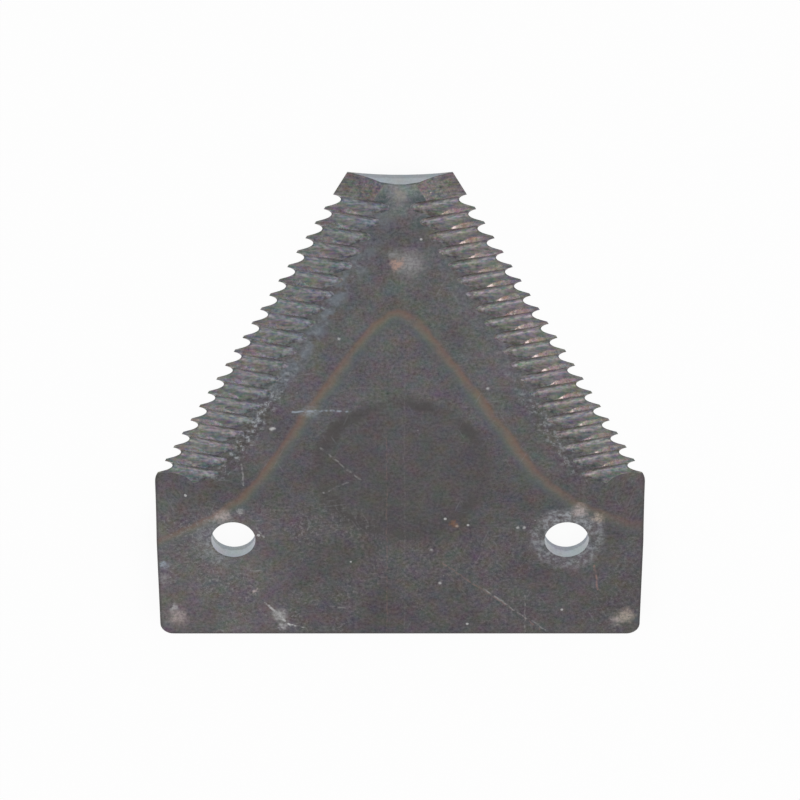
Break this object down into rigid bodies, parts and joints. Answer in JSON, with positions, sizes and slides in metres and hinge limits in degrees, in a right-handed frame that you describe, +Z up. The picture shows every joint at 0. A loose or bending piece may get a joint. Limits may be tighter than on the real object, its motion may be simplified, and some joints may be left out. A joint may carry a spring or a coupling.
{
  "type": "mower sickle section",
  "caption": "Flat triangular steel mower blade plate with a square base, paired bar holes, a blunt hollow tip and serrated hollow-ground bevels on both cutting edges.",
  "frame": {"origin": "midway between the two bar holes, on the underside", "axes": "+X along the back edge, +Y towards the tip, +Z up through the thickness to the bevelled side"},
  "size_m": [0.0742, 0.0839, 0.0025],
  "materials": {
    "blade_steel": "dark heat-tinted steel, satin, with ground grooves and worn edges"
  },
  "bodies": {
    "root": {"sickle_section": "blade_steel"}
  },
  "joints": []
}
